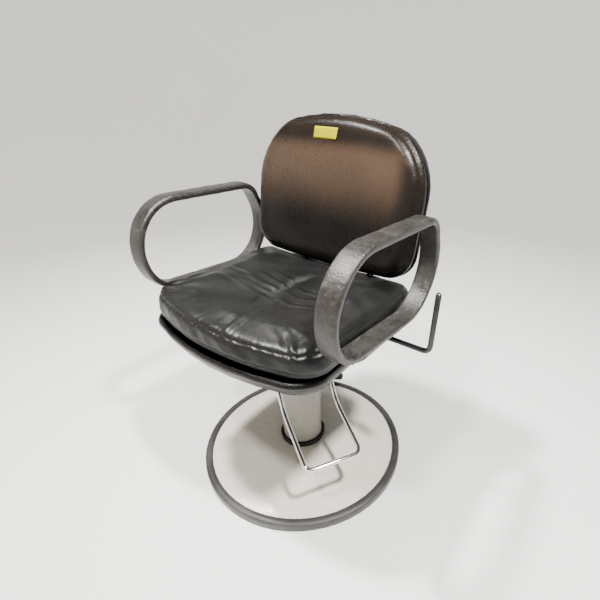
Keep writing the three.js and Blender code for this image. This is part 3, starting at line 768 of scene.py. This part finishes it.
def seat_relief(flat, inset, top):
    """How far the seat's top rises or falls at each (x, y). top says how much each place faces up."""
    lift = np.zeros(len(flat))
    # a long front-to-back ridge left by the sitter, with the slack lying in a valley beside and behind it
    for line, tall, wide in SITTER_FOLDS:
        lift += fold(flat, line, tall, wide)
    for line, tall, wide in CREASES:
        lift += fold(flat, line, 0.75 * tall, wide)
        shifted = [(x + 0.002, y + wide * 1.9) for x, y in line]
        lift += fold(flat, shifted, -0.35 * tall, wide * 1.1)
    for cx, cy, spread, count, tall, first, last in PUCKERS:
        dx, dy = flat[:, 0] - cx, flat[:, 1] - cy
        turn, reach = np.arctan2(dy, dx), np.hypot(dx, dy)
        window = np.clip((turn - first) / 0.15, 0, 1) * np.clip((last - turn) / 0.15, 0, 1)
        wave = np.sin(turn * count + 1.3 * np.sin(turn * 5.0))
        lift += tall * wave * window * np.exp(-((reach / spread) ** 2)) * np.clip(reach / 0.05, 0, 1)
    run = seat_bearing(flat)
    front = np.clip((-flat[:, 1] - 0.10) / 0.08, 0.25, 1)
    ripple = np.sin(run * 117 + 2.2 * np.sin(run * 23)) * 0.6 + 0.4 * np.sin(run * 61 + 1.0)
    lift += 0.0008 * top * front * ripple * np.exp(-((np.maximum(0, inset - 0.004) / 0.014) ** 2))
    # broad sag where people sit, and slow unevenness
    sag = ((flat[:, 0] / 0.17) ** 2 + ((flat[:, 1] + 0.03) / 0.16) ** 2).clip(0, 4)
    lift += -0.0055 * np.exp(-sag)
    lift += 0.0008 * np.sin(flat[:, 0] * 55 + 1.7 * np.sin(flat[:, 1] * 40)) * np.sin(flat[:, 1] * 47 + 0.6)
    return lift


def shape_seat(obj):
    data = obj.data
    pts = points_of(data)
    pts[:, :2] = held_inside(pts[:, :2], seat_outline.inset(pts[:, :2]), seat_middle[:2], SEAT_SPARE)
    crest = seat_high.z + 0.004
    pts[:, 2] = np.minimum(pts[:, 2], crest + 0.25 * (pts[:, 2] - crest).clip(0))
    pts[:, 2] = np.maximum(pts[:, 2], seat_low.z - 0.0003)
    set_points(data, pts)
    inset = seat_outline.inset(pts[:, :2])
    top = np.clip((normals_of(data)[:, 2] - 0.15) / 0.5, 0, 1)
    run = seat_bearing(pts)
    pts[:, 2] += seat_relief(pts[:, :2], inset, top) * top
    set_points(data, pts)
    # sewn channels: along the top edge, and a welt just above the pan
    flat_seam, _ = seat_outline.ring(SEAT_SEAM_IN, 0.004)
    seam = np.array([tuple(p) for p, _ in drop_to_seat(tree_of(obj), flat_seam) if p])
    gap = seam_gap(pts, np.flatnonzero((inset < 0.03) & (pts[:, 2] > seat_high.z - 0.03)), seam)
    normal = normals_of(data)
    pts -= normal * groove(gap, 0.0030, 0.0030, 0.0012, 0.009)
    side = np.clip((0.5 - np.abs(normal[:, 2])) / 0.3, 0, 1)
    welt = pts[:, 2] - (seat_low.z + 0.0125)
    pts -= normal * (0.0030 * side * np.exp(-((welt / 0.0024) ** 2)))[:, None]
    loose = 0.0011 * np.sin(run * 9 + pts[:, 2] * 60) + 0.0004 * np.sin(run * 31 + pts[:, 2] * 130)
    pts += normal * (side * loose)[:, None]
    set_points(data, pts)


shape_seat(seat)
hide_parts("seat_cushion")
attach(seat, "seat")
seat_tree = tree_of(seat)
for label, depth in (("outer", SEAT_SEAM_IN - 0.0042), ("inner", SEAT_SEAM_IN + 0.0048)):
    ring, _ = seat_outline.ring(depth, 0.0046)
    sewn(f"seat_stitches_{label}", drop_to_seat(seat_tree, ring), 0.0032, 0.00028, THREAD, "seat")


# ---- back cushion: a flat panel inside a fat rounded border ----
def in_back(pts):
    """Row-frame points as (across, up the back, into the back)."""
    rel = np.asarray(pts, float) - np.array(BACK_FOOT)
    return np.stack([rel @ np.array(ACROSS), rel @ np.array(UP_BACK), rel @ np.array(INTO_BACK)], 1)


def out_of_back(loc):
    out = np.array(BACK_FOOT)
    for k, axis in enumerate((ACROSS, UP_BACK, INTO_BACK)):
        out = out + np.asarray(loc, float)[:, k : k + 1] * np.array(axis)
    return out


cad_back = in_back(points_of(nodes["back_cushion"].data))
back_outline = Outline(cad_back[:, :2])
back_face, back_rear = cad_back[:, 2].min(), cad_back[:, 2].max()


def back_start(pts):
    loc = in_back(pts)
    loc[:, :2] = back_outline.centre + (loc[:, :2] - back_outline.centre) * (0.986, 0.982)
    loc[:, 2] = back_rear + (loc[:, 2] - back_rear) * 0.94
    return out_of_back(loc)


back = inflated(
    "back_cushion",
    "back_cushion_cover",
    BACK_LEATHER,
    back_start,
    lambda p: np.clip((in_back(p)[:, 2] - back_rear + 0.013) / 0.01, 0, 1),
    lambda p: 0.02 + 0.07 * np.clip(back_outline.inset(in_back(p)[:, :2]) / 0.08, 0, 1),
    lambda p: 0.0035 * np.clip((back_rear - 0.004 - in_back(p)[:, 2]) / 0.02, 0, 1),
)


def shape_back(obj):
    data = obj.data
    loc = in_back(points_of(data))
    loc[:, :2] = held_inside(loc[:, :2], back_outline.inset(loc[:, :2]), back_outline.centre, BACK_SPARE)
    loc[:, 2] = np.clip(loc[:, 2], back_face - 0.004, back_rear)
    set_points(data, out_of_back(loc))
    inset = back_outline.inset(loc[:, :2])
    into = normals_of(data) @ np.array(INTO_BACK)
    facing = np.clip((-into - 0.1) / 0.5, 0, 1)
    # a big round shoulder all the way round, and a panel lying a little below its crest
    past = BACK_SHOULDER - np.clip(inset, 0, BACK_SHOULDER)
    rolled = BACK_SHOULDER - np.sqrt(np.maximum(0, BACK_SHOULDER**2 - past**2))
    loc[:, 2] += facing * 0.66 * rolled
    loc[:, 2] += facing * 0.0040 / (1 + np.exp(-(inset - 0.040) / 0.0075))
    x, s = loc[:, 0], loc[:, 1]
    loc[:, 2] += facing * 0.0035 * np.exp(-((x / 0.15) ** 2) - ((s - 0.16) / 0.10) ** 2)
    slow = np.sin(x * 31 + 1.2 * np.sin(s * 37)) * np.sin(s * 43 + 0.8) + 0.5 * np.sin(x * 67 - s * 51)
    loc[:, 2] += facing * 0.00022 * slow
    # the border's sides are pulled tight, so the cloth's small wrinkles are smoothed out there
    tight = 0.6 * np.clip((0.55 + into) / 0.3, 0, 1)
    tight *= np.clip((back_rear - 0.004 - loc[:, 2]) / 0.006, 0, 1)
    set_points(data, out_of_back(calmed(data, loc, tight)))


def onto_back(tree, depth, step, tilt=0.8):
    """Where the outline, moved in by depth, meets the cover when seen from the front and outside."""
    flat, out = back_outline.ring(depth, step)
    found = []
    for (x, s), (ox, os_) in zip(flat, out):
        aim = -(ACROSS * ox + UP_BACK * os_) * math.cos(tilt) + INTO_BACK * math.sin(tilt)
        spot = BACK_FOOT + ACROSS * x + UP_BACK * s + INTO_BACK * (back_face + 0.014)
        found.append(landed(tree, spot - aim * 0.08, aim))
    return found


def sew_back(obj):
    data = obj.data
    pts = points_of(data)
    seam = np.array([tuple(p) for p, _ in onto_back(tree_of(obj), BACK_SEAM_IN, 0.004) if p])
    loc = in_back(pts)
    inset = back_outline.inset(loc[:, :2])
    gap = seam_gap(pts, np.flatnonzero((inset < 0.035) & (loc[:, 2] < back_face + 0.04)), seam)
    normal = normals_of(data)
    turn = np.arctan2(loc[:, 1] - back_outline.centre[1], loc[:, 0] - back_outline.centre[0])
    ripple = np.sin(turn * 128 + 2 * np.sin(turn * 19)) * 0.6 + 0.4 * np.sin(turn * 57)
    pts -= normal * groove(gap, 0.0011, 0.0026, 0.0004, 0.008)
    pts += normal * (0.00010 * ripple * np.exp(-((gap / 0.012) ** 2)))[:, None]
    set_points(data, pts)


shape_back(back)
sew_back(back)
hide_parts("back_cushion")
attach(back, "back")
back_tree = tree_of(back)
for label, depth in (("outer", BACK_SEAM_IN - 0.0045), ("inner", BACK_SEAM_IN + 0.0045)):
    sewn(f"back_stitches_{label}", onto_back(back_tree, depth, 0.0044), 0.0030, 0.00024, THREAD, "back")


# ---- a blank yellow sticker on the upper back ----
def sticker():
    f = Finish("yellow label", Specular_IOR_Level=0.0)
    mottle = f.noise(90, 4)
    colour = f.blend(f.remap(mottle, 0.45, 0.7, 0, 1), (0.40, 0.37, 0.0), (0.35, 0.32, 0.0))
    paper = f.done(colour, f.remap(mottle, 0.3, 0.7, 0.45, 0.65), f.bump(f.noise(700), 0.00004))
    columns, rows, pts, faces = 20, 8, [], []
    for face in (0, 1):
        for r in range(rows + 1):
            for c in range(columns + 1):
                u, v = c / columns, r / rows
                x = STICKER_LEFT + STICKER_WIDE * u - 0.003 * v
                s = STICKER_TOP - STICKER_TALL * v - 0.0005 * u
                spot = BACK_FOOT + ACROSS * x + UP_BACK * s - INTO_BACK * 0.05
                place, normal = landed(back_tree, spot, INTO_BACK)
                curl = 0.0012 * max(0.0, u - 0.82) * max(0.0, v - 0.5) * 20
                pts.append(place + normal * (0.0003 + 0.0002 * (1 - face) + curl))
    wide = columns + 1
    last = (rows + 1) * wide
    for r in range(rows):
        for c in range(columns):
            a = r * wide + c
            faces.append((a, a + wide, a + wide + 1, a + 1))
            faces.append((last + a, last + a + 1, last + a + wide + 1, last + a + wide))
    edge = list(range(columns)) + [r * wide + columns for r in range(rows)]
    edge += [rows * wide + c for c in range(columns, 0, -1)] + [r * wide for r in range(rows, 0, -1)]
    for a, b in zip(edge, edge[1:] + edge[:1]):
        faces.append((a, b, last + b, last + a))
    obj = mesh_object("yellow_sticker", pts, faces, paper)
    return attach(obj, "back")


sticker()


# ---- the butt joint in the base bumper ----
def bumper_joint():
    """Two slightly raised welded lips where the ends of the bumper strip meet."""
    turn = BUMPER_JOINT_TURN
    outward = Vector((math.cos(turn), math.sin(turn), 0))
    along = Vector((-math.sin(turn), math.cos(turn), 0))
    tree = tree_of(nodes["base_trim"])
    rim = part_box("base_trim")[1].x
    pts, faces, steps = [], [], 18
    lips = ((-0.0022, 0.0), (-0.0009, 0.0007), (0.0, -0.0002), (0.0009, 0.0007), (0.0022, 0.0))
    for k in range(steps + 1):
        lift = math.radians(4 + 84 * k / steps)
        aim = -(outward * math.cos(lift) + Vector((0, 0, 1)) * math.sin(lift))
        spot = outward * (rim - 0.009) + Vector((0, 0, 0.017))
        for shift, proud in lips:
            place, normal = landed(tree, spot - aim * 0.05 + along * shift, aim)
            pts.append(place + normal * (proud + 0.0001))
    for k in range(steps):
        for j in range(4):
            a = k * 5 + j
            faces.append((a, a + 1, a + 6, a + 5))
    weld = moulding("bumper weld", (0.05, 0.048, 0.047), (0.09, 0.088, 0.085), 0.5)
    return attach(mesh_object("bumper_joint", pts, faces, weld), "base")


bumper_joint()


# ---- floor, light and camera ----
def pale_floor(flat_r, curve_r, top, around=72):
    """A round floor that curves up into a low wall."""
    pale = Finish("pale floor", Specular_IOR_Level=0.2)
    mottled = pale.noise(3, 3)
    pale.done(
        pale.blend(mottled, (0.90, 0.90, 0.895), (0.93, 0.93, 0.925)),
        pale.remap(mottled, 0.3, 0.7, 0.7, 0.85),
    )
    profile = [(0.0, 0.0), (1.0, 0.0), (flat_r, 0.0)]
    for w in range(6, 91, 6):
        tilt = math.radians(w)
        profile.append((flat_r + curve_r * math.sin(tilt), curve_r - curve_r * math.cos(tilt)))
    profile.append((flat_r + curve_r, top))
    pts, faces = [], []
    for r, z in profile:
        for k in range(around):
            w = 2 * math.pi * k / around
            pts.append((r * math.cos(w), r * math.sin(w), z))
    for k in range(len(profile) - 1):
        for j in range(around):
            a, b = k * around + j, k * around + (j + 1) % around
            faces.append((a, b, b + around, a + around) if k else (a, b + around, a + around))
    return mesh_object("floor", pts, faces, pale.mat)


floor = pale_floor(FLOOR_FLAT_R, FLOOR_CURVE_R, FLOOR_RIM)

world = bpy.data.worlds.new("studio")
bpy.context.scene.world = world
world.use_nodes = True
world.node_tree.nodes["Background"].inputs["Color"].default_value = (1.0, 0.99, 0.975, 1)
world.node_tree.nodes["Background"].inputs["Strength"].default_value = WORLD_STRENGTH


def lamp(name, place, target, wide, tall, watts, colour):
    data = bpy.data.lights.new(name, "AREA")
    data.shape, data.size, data.size_y = "RECTANGLE", wide, tall
    data.energy, data.color = watts, colour
    obj = bpy.data.objects.new(name, data)
    obj.location = place
    obj.rotation_euler = (Vector(target) - Vector(place)).to_track_quat("-Z", "Y").to_euler()
    bpy.context.scene.collection.objects.link(obj)


# small ceiling lamps, whose shadows of the seat overlap around the column, and a weak warm panel
for number, (x, y, watts) in enumerate(LAMPS, 1):
    place, target = (x, y, CEILING), (0.0, 0.0, 0.05)
    lamp(f"ceiling lamp {number}", place, target, LAMP_SIDE, LAMP_SIDE, watts, LAMP_COLOUR)
lamp("warm bounce", (-1.60, -2.0, 1.95), (0.0, 0.1, 0.80), 2.0, 1.3, 12, BOUNCE_COLOUR)

eye = bpy.data.objects.new("camera", bpy.data.cameras.new("camera"))
bpy.context.scene.collection.objects.link(eye)
eye.location = CAMERA_AT
eye.rotation_euler = (CAMERA_TILT, 0, CAMERA_HEADING)
eye.data.sensor_width, eye.data.lens = SENSOR, LENS
eye.data.shift_x, eye.data.shift_y = LENS_SHIFT
eye.data.clip_start = 0.01
bpy.context.scene.camera = eye
